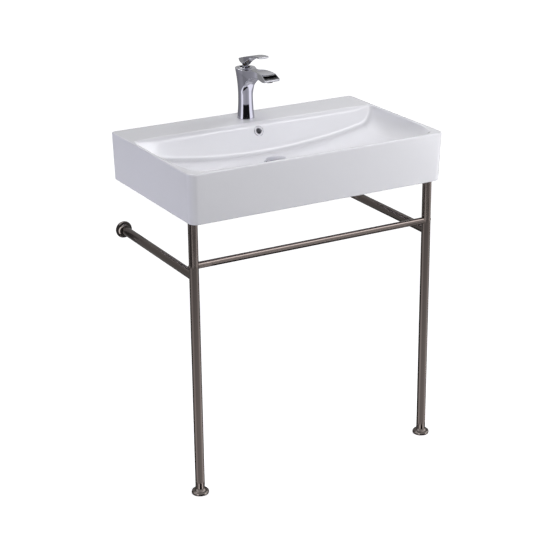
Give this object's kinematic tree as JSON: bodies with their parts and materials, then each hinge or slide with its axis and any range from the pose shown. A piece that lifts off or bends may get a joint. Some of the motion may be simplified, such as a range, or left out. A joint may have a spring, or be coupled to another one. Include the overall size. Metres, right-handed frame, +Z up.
{
  "type": "console washbasin",
  "caption": "White ceramic washbasin with a chrome lever mixer, carried by a dark steel stand: round front legs, side rails to the wall, and a towel bar.",
  "frame": {"origin": "on the floor, under the middle of the basin, midway between its front and the wall", "axes": "+Z up, +Y towards the wall, +X to the right as seen from the front"},
  "size_m": [0.7618, 0.4749, 1.0911],
  "materials": {
    "glaze": "white gloss glaze",
    "chrome": "polished chrome plate",
    "dark_steel": "dark satin nickel on stainless steel",
    "bright_steel": "plain stainless steel",
    "brass": "turned",
    "rubber": "moulded",
    "black_plastic": "moulded",
    "white_plastic": "moulded",
    "grey_plastic": "moulded",
    "disc_ceramic": "ground"
  },
  "bodies": {
    "basin_and_stand": {"base_gasket": "rubber", "basin": "glaze", "bottom_seal": "rubber", "cartridge_cap": "chrome", "cartridge_housing": "black_plastic", "cartridge_nut": "brass", "clamp_gasket": "rubber", "clamp_plate": "bright_steel", "crossbar": "dark_steel", "crossbar_inserts": "dark_steel", "crossbar_screws": "dark_steel", "flange_grub_screws": "bright_steel", "flow_insert": "black_plastic", "insert_clip": "black_plastic", "left_floor_flange": "dark_steel", "left_leg": "dark_steel", "left_leg_plug": "dark_steel", "left_rail": "dark_steel", "left_wall_flange": "dark_steel", "lower_disc": "disc_ceramic", "mixer_body": "chrome", "mounting_nut": "bright_steel", "mounting_stud": "bright_steel", "overflow_ring": "chrome", "port_seals": "rubber", "right_floor_flange": "dark_steel", "right_leg": "dark_steel", "right_leg_plug": "dark_steel", "right_rail": "dark_steel", "right_wall_flange": "dark_steel", "top_seal": "rubber", "waste_body": "chrome", "waste_guide": "black_plastic", "waste_nut": "brass", "waste_spring": "bright_steel", "waste_washer": "white_plastic"},
    "turret": {"turret": "black_plastic", "pivot_pin": "bright_steel"},
    "lever": {"lever": "chrome", "lever_screw": "bright_steel", "index_plug": "grey_plastic", "cartridge_stem": "brass"},
    "upper_disc": {"upper_disc": "disc_ceramic"},
    "waste_cap": {"waste_cap": "chrome", "cap_seal": "rubber"},
    "left_floor_cover": {"left_floor_cover": "dark_steel"},
    "right_floor_cover": {"right_floor_cover": "dark_steel"},
    "left_wall_cover": {"left_wall_cover": "dark_steel"},
    "right_wall_cover": {"right_wall_cover": "dark_steel"}
  },
  "joints": [
    {"name": "mixer_swing", "type": "hinge", "parent": "basin_and_stand", "child": "turret", "pos_m": [0, 0.175, 1.0245], "axis": [0, 0, 1], "range_deg": [-45, 45]},
    {"name": "lever_lift", "type": "hinge", "parent": "turret", "child": "lever", "pos_m": [0, 0.175, 1.0245], "axis": [-1, 0, 0], "range_deg": [0, 18]},
    {"name": "disc_slide", "type": "slide", "parent": "turret", "child": "upper_disc", "axis": [0, -1, 0], "range_m": [0, 0.0034]},
    {"name": "drain_cap_slide", "type": "slide", "parent": "basin_and_stand", "child": "waste_cap", "axis": [0, 0, 1], "range_m": [0, 0.009], "deforming": ["waste_spring"]},
    {"name": "left_floor_cover_slide", "type": "slide", "parent": "basin_and_stand", "child": "left_floor_cover", "axis": [0, 0, 1], "range_m": [0, 0.06]},
    {"name": "right_floor_cover_slide", "type": "slide", "parent": "basin_and_stand", "child": "right_floor_cover", "axis": [0, 0, 1], "range_m": [0, 0.06]},
    {"name": "left_wall_cover_slide", "type": "slide", "parent": "basin_and_stand", "child": "left_wall_cover", "axis": [0, -1, 0], "range_m": [0, 0.06]},
    {"name": "right_wall_cover_slide", "type": "slide", "parent": "basin_and_stand", "child": "right_wall_cover", "axis": [0, -1, 0], "range_m": [0, 0.06]}
  ],
  "couplings": [
    {"joint": "disc_slide", "follows": "lever_lift", "m_per_rad": 0.0105}
  ]
}
